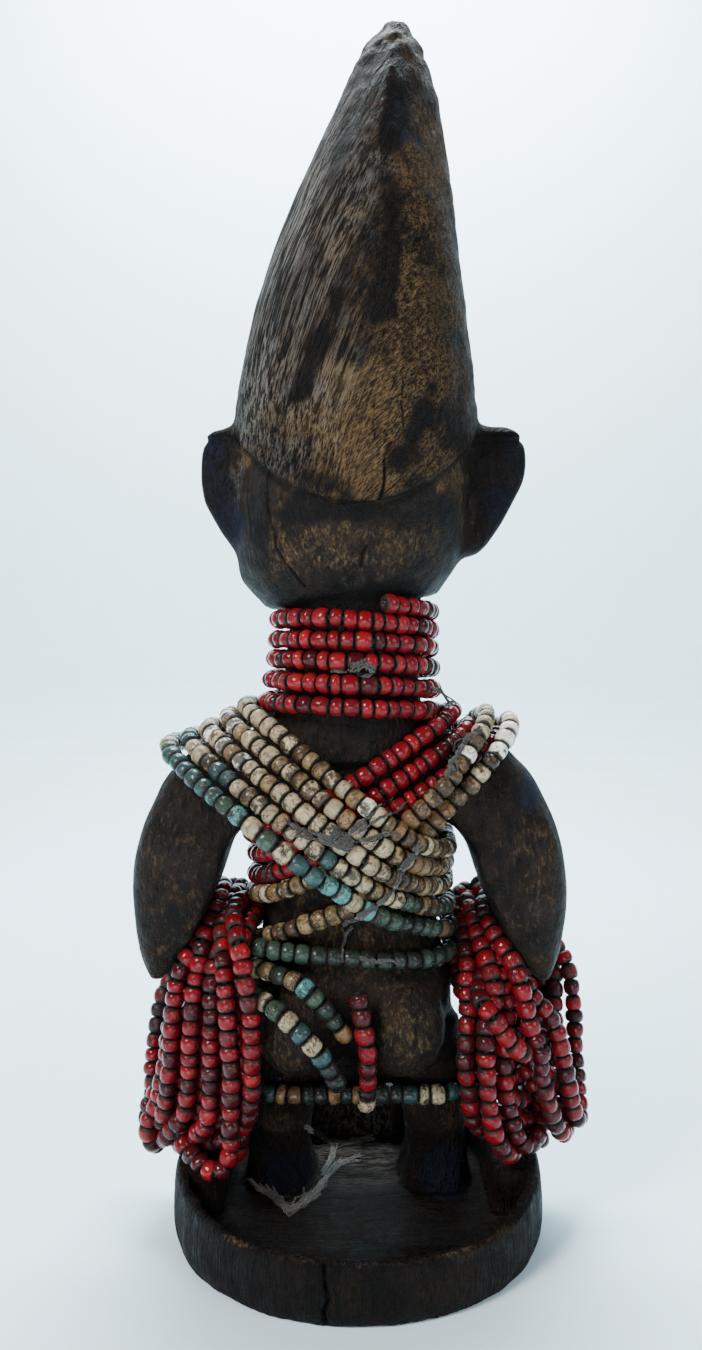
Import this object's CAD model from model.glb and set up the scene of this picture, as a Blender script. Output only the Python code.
import math
from collections import namedtuple

import bmesh
import bpy
import numpy as np
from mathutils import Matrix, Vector
from mathutils.bvhtree import BVHTree
from mathutils.kdtree import KDTree


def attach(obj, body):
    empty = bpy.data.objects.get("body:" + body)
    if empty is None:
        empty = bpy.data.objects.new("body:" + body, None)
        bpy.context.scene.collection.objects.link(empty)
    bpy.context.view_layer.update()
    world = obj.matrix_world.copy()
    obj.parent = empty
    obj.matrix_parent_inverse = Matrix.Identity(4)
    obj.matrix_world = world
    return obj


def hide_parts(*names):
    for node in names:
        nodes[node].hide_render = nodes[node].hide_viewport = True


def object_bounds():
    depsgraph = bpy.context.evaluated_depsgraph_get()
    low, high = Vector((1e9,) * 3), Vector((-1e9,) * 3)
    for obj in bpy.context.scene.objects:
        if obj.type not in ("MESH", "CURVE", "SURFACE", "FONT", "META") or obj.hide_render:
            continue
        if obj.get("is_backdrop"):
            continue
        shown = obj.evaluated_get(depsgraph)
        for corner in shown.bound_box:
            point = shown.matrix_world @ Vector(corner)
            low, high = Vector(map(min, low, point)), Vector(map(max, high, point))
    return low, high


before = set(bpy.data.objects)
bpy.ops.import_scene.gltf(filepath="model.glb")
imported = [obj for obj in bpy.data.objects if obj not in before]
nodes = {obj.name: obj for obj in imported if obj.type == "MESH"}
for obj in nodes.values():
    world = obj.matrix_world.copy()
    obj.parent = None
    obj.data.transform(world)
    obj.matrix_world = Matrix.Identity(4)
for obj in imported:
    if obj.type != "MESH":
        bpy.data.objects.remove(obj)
cad_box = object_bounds()
MM = 0.001
TINY = 1e-6
PART_LOW, PART_HIGH = (np.array(corner) / MM for corner in cad_box)
SEED = 20

# The photograph's camera: level, behind the figure, a little above its middle.
FRAME_WIDTH = 702
FRAME_HEIGHT = 1350
FOCAL_PIXELS = 975
CAMERA_PLACE = Vector((1.6, 230.0, 128.6))
SENSOR = 36.0

# Sizes shared with the part.
FLOOR_OF_RECESS = 5.5
BASE_TOP = 20
BASE_HALF_WIDTH = 43.2
BASE_HALF_DEPTH = 40.0
MEAN_RADIUS = 42
RECESS_HALF_WIDTH = 40
RECESS_HALF_DEPTH = 37
TOES_X = 18.8
TOE_PITCH = 3.35
HEAD_LOW = 150
EARS_HIGH = 192
HEAD_X = 0.6
BODY_X = 1.9
SASH_BEAD = 4.1
NECK_BEAD = 4.1
WAIST_BEAD = 4.2
WRIST_BEAD = 4.2


def stage_and_light():
    camera = bpy.data.objects.new("camera", bpy.data.cameras.new("camera"))
    bpy.context.scene.collection.objects.link(camera)
    camera.data.sensor_width = SENSOR
    camera.data.lens = SENSOR * FOCAL_PIXELS / FRAME_HEIGHT
    camera.data.clip_start = 0.01
    camera.location = CAMERA_PLACE * MM
    camera.rotation_euler = (math.radians(90), 0, math.radians(180))
    bpy.context.scene.camera = camera

    # A floor that sweeps up behind the figure, far enough back to leave the figure's front in view.
    floor_near = 700
    floor_far = -500
    half_width = 1200
    wall_top = 1000
    sweep_radius = 120
    sweep_steps = 12
    profile = [(floor_near, 0), (floor_far, 0)]
    for k in range(1, sweep_steps + 1):
        angle = math.radians(90) * k / sweep_steps
        back = floor_far - sweep_radius * math.sin(angle)
        profile.append((back, sweep_radius * (1 - math.cos(angle))))
    profile.append((floor_far - sweep_radius, wall_top))
    corners = [(side * half_width * MM, y * MM, z * MM) for y, z in profile for side in (-1, 1)]
    faces = [(2 * k, 2 * k + 1, 2 * k + 3, 2 * k + 2) for k in range(len(profile) - 1)]
    floor = new_object("floor", corners, faces, [plain_material("pale_floor", (0.73, 0.90, 0.98), 0.8)])
    floor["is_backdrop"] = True

    world = bpy.data.worlds.new("room")
    bpy.context.scene.world = world
    world.use_nodes = True
    background = world.node_tree.nodes["Background"]
    background.inputs["Color"].default_value = (0.80, 0.88, 1.0, 1)
    background.inputs["Strength"].default_value = 0.27

    add_area_light("window", (430, 420, 560), (0, 10, 130), (190, 240), 7.2, (1.0, 0.985, 0.965))
    add_area_light("fill", (-460, 330, 330), (0, 0, 120), (260, 320), 1.5, (0.90, 0.95, 1.0))
    add_area_light("low", (90, 560, 70), (0, 0, 20), (420, 160), 1.8, (1.0, 1.0, 1.0))
    add_area_light("wall", (0, -320, 860), (0, -620, 130), (560, 240), 25.0, (0.88, 0.97, 1.0))


def add_area_light(name, place, target, size, power, colour):
    data = bpy.data.lights.new(name, "AREA")
    data.shape = "RECTANGLE"
    data.size, data.size_y = size[0] * MM, size[1] * MM
    data.energy = power
    data.color = colour
    light = bpy.data.objects.new(name, data)
    bpy.context.scene.collection.objects.link(light)
    light.location = Vector(place) * MM
    light.rotation_euler = (Vector(target) - Vector(place)).to_track_quat("-Z", "Y").to_euler()


def new_object(name, places, faces, materials, smooth=False, face_materials=None):
    """A mesh object from places in metres."""
    mesh = bpy.data.meshes.new(name)
    mesh.from_pydata([tuple(p) for p in places], [], [tuple(f) for f in faces])
    for material in materials:
        mesh.materials.append(material)
    if face_materials is not None:
        mesh.polygons.foreach_set("material_index", np.asarray(face_materials, dtype=np.int32))
    if smooth:
        mesh.polygons.foreach_set("use_smooth", np.ones(len(mesh.polygons), dtype=bool))
    mesh.validate()
    mesh.update()
    made = bpy.data.objects.new(name, mesh)
    bpy.context.scene.collection.objects.link(made)
    return made


def set_attribute(mesh, name, values):
    """Writes one value, vector or colour for each point of a mesh."""
    values = np.asarray(values, dtype=np.float32)
    kinds = {1: ("FLOAT", "value"), 3: ("FLOAT_VECTOR", "vector"), 4: ("FLOAT_COLOR", "color")}
    kind, field = kinds[1 if values.ndim == 1 else values.shape[1]]
    layer = mesh.attributes.new(name, kind, "POINT")
    layer.data.foreach_set(field, values.ravel())


# Number helpers.


def smoothstep(low, high, value):
    t = np.clip((np.asarray(value, dtype=float) - low) / (high - low), 0, 1)
    return t * t * (3 - 2 * t)


def lattice(cells, seed):
    """A repeatable random number in -1..1 for each whole-number cell, mixed by large odd factors."""
    c = cells.astype(np.int64)
    n = c[:, 0] * 73856093 ^ c[:, 1] * 19349663 ^ c[:, 2] * 83492791 ^ (seed * 2654435761)
    n = (n ^ (n >> 13)) * 1274126177 & 0x7FFFFFFF
    n = (n ^ (n >> 16)) * 668265263 & 0x7FFFFFFF
    return n / 0x3FFFFFFF - 1.0


def noise(points, size, seed=0):
    """Smooth noise in about -1..1 whose features are as large as size, one size or one for each axis."""
    p = np.asarray(points) / np.asarray(size, dtype=float)
    cell = np.floor(p)
    t = p - cell
    t = t * t * (3 - 2 * t)
    total = np.zeros(len(p))
    for dx in (0, 1):
        for dy in (0, 1):
            for dz in (0, 1):
                weight = (
                    (t[:, 0] if dx else 1 - t[:, 0])
                    * (t[:, 1] if dy else 1 - t[:, 1])
                    * (t[:, 2] if dz else 1 - t[:, 2])
                )
                total += weight * lattice(cell + (dx, dy, dz), seed)
    return total


def pixel_ray(u, v):
    """Where the camera looks through a pixel of the photograph: a place and a direction, in millimetres."""
    across = -(u - FRAME_WIDTH / 2) / FOCAL_PIXELS
    down = -(v - FRAME_HEIGHT / 2) / FOCAL_PIXELS
    return CAMERA_PLACE.copy(), Vector((across, -1.0, down)).normalized()


def seen_pixels(points):
    """The pixels at which the camera sees points in millimetres."""
    depth = CAMERA_PLACE.y - points[:, 1]
    u = FRAME_WIDTH / 2 - FOCAL_PIXELS * (points[:, 0] - CAMERA_PLACE.x) / depth
    v = FRAME_HEIGHT / 2 + FOCAL_PIXELS * (CAMERA_PLACE.z - points[:, 2]) / depth
    return u, v


# Materials.


class Nodes:
    """A short way to lay out a material's nodes. A value is a number, a colour or another node's output."""

    def __init__(self, name):
        self.material = bpy.data.materials.new(name)
        self.material.use_nodes = True
        self.tree = self.material.node_tree
        self.shader = self.tree.nodes["Principled BSDF"]

    def fill(self, socket, value):
        if isinstance(value, bpy.types.NodeSocket):
            self.tree.links.new(value, socket)
        else:
            socket.default_value = (*value, 1) if isinstance(value, tuple) else value

    def add(self, kind, output, inputs, **settings):
        """A new node with its settings and inputs. Returns the output that is used."""
        node = self.tree.nodes.new("ShaderNode" + kind)
        for name, value in settings.items():
            setattr(node, name, value)
        for name, value in inputs.items():
            self.fill(node.inputs[name], value)
        return node.outputs[output]

    def attribute(self, name, output="Fac"):
        return self.add("Attribute", output, {}, attribute_name=name)

    def position(self):
        return self.add("TexCoord", "Object", {})

    def noise(self, vector, scale, detail=4.0, roughness=0.6, distortion=0.0):
        inputs = {"Vector": vector, "Scale": scale, "Detail": detail, "Roughness": roughness}
        return self.add("TexNoise", "Fac", {**inputs, "Distortion": distortion})

    def cells(self, vector, scale):
        return self.add("TexVoronoi", "Distance", {"Vector": vector, "Scale": scale})

    def math(self, operation, a, b=0.0):
        return self.add("Math", 0, {0: a, 1: b}, operation=operation)

    def scaled(self, value, factor):
        return self.math("MULTIPLY", value, factor)

    def added(self, a, b):
        return self.math("ADD", a, b)

    def off_middle(self, value, factor):
        """How far a noise is from its middle, times a factor."""
        return self.scaled(self.math("SUBTRACT", value, 0.5), factor)

    def between(self, value, low, high, to_low=0.0, to_high=1.0):
        """A soft step from to_low to to_high while the value goes from low to high."""
        inputs = {"Value": value, "From Min": low, "From Max": high, "To Min": to_low, "To Max": to_high}
        return self.add("MapRange", "Result", inputs, interpolation_type="SMOOTHSTEP")

    def mix(self, factor, a, b):
        return self.add("Mix", "Result", {"Factor": factor, "A": a, "B": b}, data_type="RGBA")

    def bump(self, height, distance, strength=1.0):
        return self.add("Bump", "Normal", {"Height": height, "Distance": distance, "Strength": strength})

    def finish(self, **inputs):
        for name, value in inputs.items():
            self.fill(self.shader.inputs[name.replace("_", " ")], value)
        return self.material


def plain_material(name, colour, roughness):
    made = Nodes(name)
    speckle = made.noise(made.position(), 60.0)
    tone = made.mix(made.between(speckle, 0.3, 0.7), tuple(c * 0.98 for c in colour), colour)
    return made.finish(Base_Color=tone, Roughness=roughness)


DARK_WOOD = (0.0042, 0.0033, 0.0030)
BROWN_WOOD = (0.0115, 0.0077, 0.0060)
WARM_WOOD = (0.0185, 0.0120, 0.0090)
DRY_WOOD = (0.0300, 0.0215, 0.0165)
TAN_SHADE = (0.0290, 0.0180, 0.0090)
TAN_WOOD = (0.1150, 0.0680, 0.0290)
PALE_FLECK = (0.1900, 0.1230, 0.0600)
GREY_DUST = (0.1750, 0.1640, 0.1500)
INDIGO_DYE = (0.0070, 0.0100, 0.0220)
SOOT = (0.0036, 0.0031, 0.0030)


def wood_material():
    """Old dark wood: brown with tan flecks where it is worn, blue-black where it was dyed."""
    made = Nodes("old_dark_wood")
    scaled, added = made.scaled, made.added
    grain = made.attribute("grain", "Vector")
    turned_grain = made.attribute("turned_grain", "Vector")
    turned = made.attribute("turned")
    position = made.position()
    tan = made.attribute("tan")
    dark = made.attribute("dark")
    indigo = made.attribute("indigo")
    dust = made.attribute("dust")
    grooved = made.attribute("grooved")

    def streaks(scale, detail):
        straight = made.noise(grain, scale, detail, 0.65)
        slanted = made.noise(turned_grain, scale, detail, 0.65)
        return added(straight, scaled(made.math("SUBTRACT", slanted, straight), turned))

    coarse = streaks(0.42, 2.0)
    fine = streaks(1.15, 3.0)
    hair = streaks(3.2, 2.0)
    blotch = made.noise(position, 60.0, 6.0, 0.62)
    mottle = made.noise(position, 260.0, 5.0, 0.65)
    crumb = made.noise(position, 950.0, 4.0, 0.7)
    pores = made.between(made.cells(position, 800.0), 0.04, 0.26)
    worn_edge = made.off_middle(fine, 1.7)
    mottled_edge = made.off_middle(mottle, 1.5)

    ground = made.mix(made.between(coarse, 0.36, 0.66), DARK_WOOD, BROWN_WOOD)
    ground = made.mix(made.between(blotch, 0.44, 0.68, 0.0, 0.75), ground, WARM_WOOD)
    ground = made.mix(made.between(mottle, 0.58, 0.72, 0.0, 0.5), ground, DRY_WOOD)
    tan_cover = made.between(added(added(tan, worn_edge), mottled_edge), 0.10, 1.15)
    tan_tone = made.mix(made.between(hair, 0.36, 0.64), TAN_SHADE, TAN_WOOD)
    tone = made.mix(tan_cover, ground, tan_tone)
    fleck_here = made.between(tan, 0.1, 0.9, 0.08, 0.70)
    tone = made.mix(scaled(made.between(fine, 0.57, 0.68), fleck_here), tone, PALE_FLECK)
    dust_cover = scaled(made.between(added(fine, scaled(hair, 0.5)), 0.66, 0.86), scaled(dust, 0.85))
    tone = made.mix(dust_cover, tone, GREY_DUST)
    indigo_here = added(added(indigo, scaled(worn_edge, 0.6)), scaled(mottled_edge, 0.7))
    tone = made.mix(made.between(indigo_here, 0.15, 1.15, 0.0, 0.92), tone, INDIGO_DYE)
    dark_here = added(added(dark, scaled(worn_edge, 1.3)), scaled(mottled_edge, 0.5))
    tone = made.mix(made.between(dark_here, 0.10, 1.05, 0.0, 0.93), tone, SOOT)
    tone = made.mix(made.between(pores, 1.0, 0.0, 0.0, 0.6), tone, SOOT)
    furrow = scaled(made.between(hair, 0.50, 0.38), added(scaled(grooved, 0.45), 0.20))
    tone = made.mix(furrow, tone, SOOT)
    groove = scaled(made.between(fine, 0.50, 0.40), added(scaled(grooved, 0.50), 0.05))
    tone = made.mix(groove, tone, SOOT)

    rough = added(made.between(mottle, 0.3, 0.7, 0.48, 0.72), scaled(added(dust, tan), 0.12))
    carved = added(scaled(coarse, 0.9), added(scaled(fine, 1.1), scaled(hair, 0.40)))
    worn = added(scaled(mottle, 0.55), added(scaled(crumb, 0.22), scaled(pores, 0.14)))
    relief = added(scaled(carved, added(scaled(grooved, 0.75), 0.25)), worn)
    normal = made.bump(relief, 0.0021)
    return made.finish(Base_Color=tone, Roughness=rough, Normal=normal, Specular_IOR_Level=0.08)


GRIME = (0.0085, 0.0065, 0.005)


def bead_material(name, gloss, stain_colour, wear, shine):
    """Old glass beads: each with its own colour, stained in its pits and grimy towards its ends."""
    made = Nodes(name)
    scaled, added = made.scaled, made.added
    position = made.position()
    colour = made.attribute("bead_colour", "Color")
    grime = made.attribute("grime")
    own_stain = made.attribute("stain")
    cloud = made.noise(position, 400.0, 4.0, 0.62)
    speck = made.noise(position, 1500.0, 3.0, 0.6)
    ripple = made.noise(position, 260.0, 2.0, 0.5)
    vein_line = made.noise(position, 300.0, 4.0, 0.6, 0.9)

    tone = made.mix(made.between(cloud, 0.34, 0.66, 0.0, 0.55), colour, made.mix(0.6, colour, stain_colour))
    stain_line = made.math("SUBTRACT", 0.75, scaled(own_stain, 0.21))
    stained = made.between(cloud, stain_line, added(stain_line, 0.09))
    tone = made.mix(scaled(stained, 0.85), tone, stain_colour)
    off_line = made.math("ABSOLUTE", made.math("SUBTRACT", vein_line, 0.5))
    veined = scaled(made.between(off_line, 0.030, 0.004), made.between(own_stain, 0.1, 0.8))
    tone = made.mix(scaled(veined, 0.8), tone, stain_colour)
    grime_here = added(added(grime, made.off_middle(cloud, 0.9)), made.off_middle(speck, 0.45))
    dirty = made.between(grime_here, 0.38, 0.86)
    tone = made.mix(scaled(dirty, 0.95), tone, GRIME)

    rough = added(added(scaled(dirty, 0.40), gloss), scaled(made.between(speck, 0.45, 0.75), wear))
    waves = added(ripple, scaled(cloud, 0.6))
    height = made.math("SUBTRACT", waves, scaled(added(stained, veined), 0.35))
    normal = made.bump(height, 0.00030, 0.9)
    return made.finish(Base_Color=tone, Roughness=rough, Normal=normal, Specular_IOR_Level=shine)


def fibre_material(name, dark, light):
    made = Nodes(name)
    fuzz = made.noise(made.position(), 2600.0, 4.0, 0.7)
    tone = made.mix(made.between(fuzz, 0.35, 0.7), dark, light)
    normal = made.bump(fuzz, 0.00025)
    return made.finish(Base_Color=tone, Roughness=0.92, Normal=normal, Sheen_Weight=0.25)


# The carving.

WOOD_VOXEL = 1.05
SHARP_ANGLE = math.radians(38)
CARVING_ROUNDS = 40  # of smoothing the facets
FOOT_ROUNDS = 6  # of smoothing the edge on which it stands
MM_A_PIXEL = 0.22


def welded(node):
    """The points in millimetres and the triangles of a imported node, with its split corners joined."""
    build = bmesh.new()
    build.from_mesh(node.data)
    bmesh.ops.remove_doubles(build, verts=build.verts, dist=TINY)
    bmesh.ops.triangulate(build, faces=build.faces)
    build.verts.index_update()
    places = np.array([v.co[:] for v in build.verts]) / MM
    triangles = np.array([[v.index for v in f.verts] for f in build.faces])
    build.free()
    return places, triangles


def sharp_edge_places(node, step=0.8):
    """Places along the edges that the carver left crisp."""
    build = bmesh.new()
    build.from_mesh(node.data)
    bmesh.ops.remove_doubles(build, verts=build.verts, dist=TINY)
    found = []
    for edge in build.edges:
        if len(edge.link_faces) != 2 or edge.calc_face_angle(0) < SHARP_ANGLE:
            continue
        a, b = (np.array(v.co[:]) / MM for v in edge.verts)
        cuts = max(1, int(np.linalg.norm(b - a) / step))
        found.extend(a + (b - a) * k / cuts for k in range(cuts + 1))
    build.free()
    return np.array(found)


def remeshed(node, voxel):
    """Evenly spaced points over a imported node's surface."""
    copy = bpy.data.objects.new("remesh_source", node.data.copy())
    bpy.context.scene.collection.objects.link(copy)
    build = bmesh.new()
    build.from_mesh(copy.data)
    bmesh.ops.remove_doubles(build, verts=build.verts, dist=TINY)
    build.to_mesh(copy.data)
    build.free()
    remesh = copy.modifiers.new("remesh", "REMESH")
    remesh.mode = "VOXEL"
    remesh.voxel_size = voxel * MM
    bpy.context.view_layer.update()
    mesh = bpy.data.meshes.new_from_object(copy.evaluated_get(bpy.context.evaluated_depsgraph_get()))
    places = np.empty(len(mesh.vertices) * 3, dtype=np.float32)
    mesh.vertices.foreach_get("co", places)
    faces = [tuple(p.vertices) for p in mesh.polygons]
    bpy.data.objects.remove(copy)
    bpy.data.meshes.remove(mesh)
    return places.reshape(-1, 3).astype(float) / MM, faces


def edges_of(faces):
    pairs = set()
    for face in faces:
        for k, a in enumerate(face):
            b = face[(k + 1) % len(face)]
            pairs.add((a, b) if a < b else (b, a))
    return np.array(sorted(pairs))


def smoothed(places, edges, weights, rounds):
    """Moves each point towards its neighbours, by its own weight."""
    count = len(places)
    a, b = edges[:, 0], edges[:, 1]
    degree = np.bincount(a, minlength=count) + np.bincount(b, minlength=count)
    for _ in range(rounds):
        mean = np.empty_like(places)
        for axis in range(3):
            line = places[:, axis]
            mean[:, axis] = (np.bincount(a, line[b], count) + np.bincount(b, line[a], count)) / degree
        places = places + weights[:, None] * (mean - places)
    return places


def near_distance(points, targets, reach):
    """The distance from each point to the nearest target, up to reach."""
    tree = KDTree(len(targets))
    for k, target in enumerate(targets):
        tree.insert(target, k)
    tree.balance()
    return np.array([min(reach, tree.find(point)[2]) for point in points])


def mesh_vectors(collection, field, count):
    values = np.empty(count * 3, dtype=np.float32)
    collection.foreach_get(field, values)
    return values.reshape(-1, 3).astype(float)


def seen_surface(tree, path, step=0.35):
    """Places on a surface under a line of photograph pixels, about step millimetres apart."""
    found = []
    for (u0, v0), (u1, v1) in zip(path, path[1:]):
        cuts = max(1, int(math.hypot(u1 - u0, v1 - v0) * MM_A_PIXEL / step))
        for k in range(cuts + 1):
            t = k / cuts
            place, normal, _, _ = tree.ray_cast(*pixel_ray(u0 + (u1 - u0) * t, v0 + (v1 - v0) * t))
            if place is not None:
                found.append((np.array(place), np.array(normal)))
    return found


# Drying cracks: pixels of each, its half width and its depth.
CRACKS = [
    ([(262, 447), (267, 470), (266, 500), (273, 530), (276, 548), (288, 566), (304, 586)], 0.30, 0.9),
    ([(391, 443), (386, 458), (384, 470), (384, 484), (380, 499)], 0.28, 0.8),
    ([(367, 547), (363, 556), (362, 566)], 0.25, 0.6),
    ([(323, 1266), (326, 1284), (328, 1300), (324, 1312), (326, 1336)], 0.40, 1.5),
    ([(246, 452), (247, 500), (252, 540)], 0.22, 0.4),
    ([(375, 395), (372, 425), (376, 440)], 0.20, 0.3),
    ([(402, 372), (401, 402), (404, 430)], 0.20, 0.3),
]
CRACK_REACH = 1.6
HAIR_EDGE_REACH = 1.3

# Where the dye, the dark streaks, the dust and the worn tan wood lie on the back: pixel, half width,
# half height, lean of the patch in degrees, strength.
DARK_PATCHES = [
    (391, 240, 10, 60, 3, 1.25), (385, 290, 14, 30, 8, 1.25), (320, 340, 12, 44, 24, 1.2),
    (302, 385, 11, 28, 24, 1.15), (334, 305, 9, 24, 20, 1.0), (420, 415, 14, 50, 24, 1.15),
    (400, 456, 18, 22, 20, 1.15), (392, 110, 18, 70, 0, 0.95), (372, 250, 12, 26, 0, 0.7),
    (350, 130, 16, 60, 22, 0.6), (436, 300, 8, 60, -4, 0.3), (452, 400, 8, 60, -4, 0.3),
    (350, 260, 10, 40, 20, 0.6),
    (352, 1040, 9, 50, 0, 1.1), (300, 1090, 50, 9, 0, 0.8), (410, 1088, 50, 9, 0, 0.8),
    (252, 1040, 9, 50, 0, 0.8), (448, 1040, 9, 50, 0, 0.7), (370, 60, 34, 44, 0, 0.85),
    (352, 515, 96, 9, 0, 0.95), (262, 520, 14, 60, 0, 0.7), (448, 520, 12, 60, 0, 0.7),
    (360, 600, 96, 18, 0, 1.0), (407, 345, 6, 30, 4, 0.5), (440, 250, 5, 60, -4, 0.3),
    (330, 482, 22, 6, 12, 0.5), (300, 505, 20, 12, 24, 0.8), (356, 548, 14, 9, 0, 0.6),
    (350, 700, 90, 36, 0, 0.6), (355, 730, 40, 30, 0, 0.6),
]
INDIGO_PATCHES = [
    (398, 122, 12, 28, 2, 1.3), (300, 270, 9, 30, 20, 0.4), (452, 415, 11, 22, 12, 0.5),
    (228, 520, 14, 36, 0, 0.9), (214, 455, 12, 26, 0, 1.2), (500, 500, 18, 34, 0, 0.8),
    (515, 450, 12, 24, 0, 0.7), (296, 1175, 32, 22, 0, 1.3), (446, 1174, 32, 28, 0, 1.4),
    (532, 790, 16, 26, 0, 0.9), (210, 1210, 12, 18, 0, 0.6), (190, 1240, 10, 20, 0, 0.5),
    (255, 1080, 22, 60, 0, 0.5), (215, 480, 10, 22, 0, 0.9),
]
TAN_PATCHES = [
    (370, 425, 84, 76, 0, 0.95), (420, 330, 52, 120, -4, 0.85), (428, 190, 30, 90, -6, 0.75),
    (345, 235, 26, 40, 15, 0.55), (330, 545, 56, 30, 0, 0.50), (405, 545, 48, 30, 0, 0.42),
    (448, 330, 14, 90, -5, 0.55),
    (275, 545, 12, 40, 0, 0.5), (300, 340, 34, 60, 20, 0.45), (268, 410, 24, 60, 12, 0.55),
    (246, 455, 9, 16, 0, 1.3), (240, 1236, 18, 9, 10, 1.1), (480, 1236, 48, 20, -20, 0.6),
    (450, 1290, 60, 24, -10, 0.40), (350, 1300, 20, 30, 0, 0.35), (540, 860, 26, 80, 0, 0.30),
    (170, 860, 28, 80, 0, 0.15), (290, 1050, 24, 30, 0, 0.35), (412, 1036, 32, 42, 0, 0.35),
    (452, 1110, 18, 24, 0, 0.35), (300, 1185, 26, 6, 8, 0.5), (440, 470, 30, 24, 30, 0.8),
]
DUST_PATCHES = [
    (300, 290, 58, 180, 17, 0.42),
    (292, 215, 30, 120, 20, 0.95), (262, 340, 24, 110, 14, 0.85), (335, 120, 16, 70, 24, 0.55),
    (366, 640, 60, 60, 0, 0.2), (300, 1195, 40, 16, 0, 0.4), (296, 1186, 30, 13, 0, 0.5),
    (446, 1182, 30, 13, 0, 0.55),
    (350, 1240, 150, 20, 0, 0.2), (330, 380, 30, 60, 10, 0.2),
]


def painted(places, normals, patches, seed):
    """How strongly each point lies in one of the patches, whose edges are ragged. They lie on the back."""
    u, v = seen_pixels(places)
    ragged = 0.45 * noise(places, 7.0, seed) + 0.3 * noise(places, 2.6, seed + 1)
    facing = smoothstep(0.0, 0.35, normals[:, 1])
    total = np.zeros(len(places))
    for pu, pv, half_width, half_height, lean, strength in patches:
        angle = math.radians(lean)
        du, dv = u - pu, v - pv
        across = du * math.cos(angle) + dv * math.sin(angle)
        along = -du * math.sin(angle) + dv * math.cos(angle)
        far = np.hypot(across / half_width, along / half_height)
        total = np.maximum(total, strength * smoothstep(1.35, 0.45, far + ragged))
    return total * facing


# The height of the hair's lower edge behind, in front and at the sides, and how it bows between them.
EDGE_BEHIND = 164.5
EDGE_IN_FRONT = 192.5
EDGE_AT_SIDES = 184.5
EDGE_BOW = 1.6


def hairline(places):
    """How far each point is above the hair's lower edge."""
    x, y, z = places.T
    depth = y / np.maximum(np.hypot(x - HEAD_X, y), TINY)
    middle = np.where(depth > 0, EDGE_BEHIND, EDGE_IN_FRONT)
    return z - (EDGE_AT_SIDES + (middle - EDGE_AT_SIDES) * np.abs(depth) ** EDGE_BOW)


def on_ears(places, inner):
    """Which points lie at the height of the ears and further than inner from the middle of the head."""
    x, _, z = places.T
    return (np.abs(x - HEAD_X) > inner) & (z > HEAD_LOW) & (z < EARS_HIGH)


def inside_recess(places):
    x, y, _ = places.T
    return np.hypot(x / RECESS_HALF_WIDTH, y / RECESS_HALF_DEPTH) < 1


def near_outer_wall(places):
    x, y, _ = places.T
    return np.hypot(x / BASE_HALF_WIDTH, y / BASE_HALF_DEPTH) > 0.93


def turned_about_y(places, degrees):
    """Coordinates across and along strokes that lean by an angle, for streaks that run with them."""
    angle = math.radians(degrees)
    x, y, z = places.T
    across = x * math.cos(angle) + z * math.sin(angle)
    along = z * math.cos(angle) - x * math.sin(angle)
    return np.stack([across, y, along], axis=1)


# The hair's strokes lean by these angles in degrees.
STEEP_STROKES = 20
SLANTED_STROKES = 46
# How much slower the streaks change along the grain.
ALONG_HAIR = 0.055
ALONG_SLANT = 0.22
ALONG_GOUGES = 0.14
ALONG_BODY = 0.40


def wood_grain(places):
    """Where each point lies in the grain, and in the slanted strokes of the hair, and how far those count."""
    x, y, z = places.T
    hair = smoothstep(-1.0, 1.5, hairline(places))
    back = y > -6
    steep = turned_about_y(places, STEEP_STROKES)
    # The front's strokes lean the other way, so they run down to both sides of the face.
    steep_front = turned_about_y(places * [-1, 1, 1], STEEP_STROKES)
    grain = places.copy()
    for source, side in ((steep, back), (steep_front, ~back)):
        take = (hair > 0.5) & side
        grain[take] = source[take]
    in_recess = inside_recess(places) & (z < FLOOR_OF_RECESS + 1.2) & (z > 2)
    grain[in_recess] = np.stack([y, z, x], axis=1)[in_recess]
    slanted = turned_about_y(places, SLANTED_STROKES)
    right_of_lean = smoothstep(9, -12, x + 0.10 * (z - 200))
    turned = hair * right_of_lean * smoothstep(262, 225, z) * back
    along = np.where(hair > 0.5, ALONG_HAIR, ALONG_BODY)
    legs = (np.abs(x - BODY_X) < 30) & (z > FLOOR_OF_RECESS + 1.3) & (y < 14)
    along[(z < BASE_TOP) & ~legs] = ALONG_GOUGES
    scale = np.stack([np.ones(len(x)), np.ones(len(x)), along], axis=1)
    return grain * scale, slanted * [1, 1, ALONG_SLANT], turned


def carve_relief(places, normals, grain, slanted, turned):
    """How far each point moves along its normal, in millimetres.

    A noise is given the size of its features, one or one for each axis, and its seed.
    """
    tool_marks = 0.20 * noise(places, 8.5, 3) + 0.10 * noise(places, 3.8, 4)
    move = carve_hair(places, grain, slanted, turned, tool_marks)
    move = carve_base(places, normals, move)
    return carve_toes(places, normals, move)


def carve_hair(places, grain, slanted, turned, move):
    """The step at the hair's edge, its grooves and the worn blunt apex."""
    above_edge = hairline(places) + 0.5 * noise(places, 4.0, 13)
    move += 0.40 * smoothstep(-0.4, 0.3, above_edge) * smoothstep(7.0, 0.5, above_edge)
    move -= 0.45 * np.exp(-(((above_edge + 0.7) / 0.8) ** 2))
    hair = smoothstep(-0.5, 2.0, hairline(places))
    stroke = noise(grain, [2.0, 4.0, 1.9], 5) * (1 - turned) + noise(slanted, [1.9, 4.0, 1.5], 6) * turned
    broad = noise(grain, [5.5, 9.0, 3.2], 7)
    move += hair * (0.34 * stroke + 0.24 * broad)
    worn_apex = noise(grain * [1, 1, 0.6 / ALONG_HAIR], [2.2, 2.6, 4.5], 14) + 0.7 * noise(places, 1.9, 15)
    return move + 0.45 * worn_apex * smoothstep(256, 276, places[:, 2])


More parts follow.
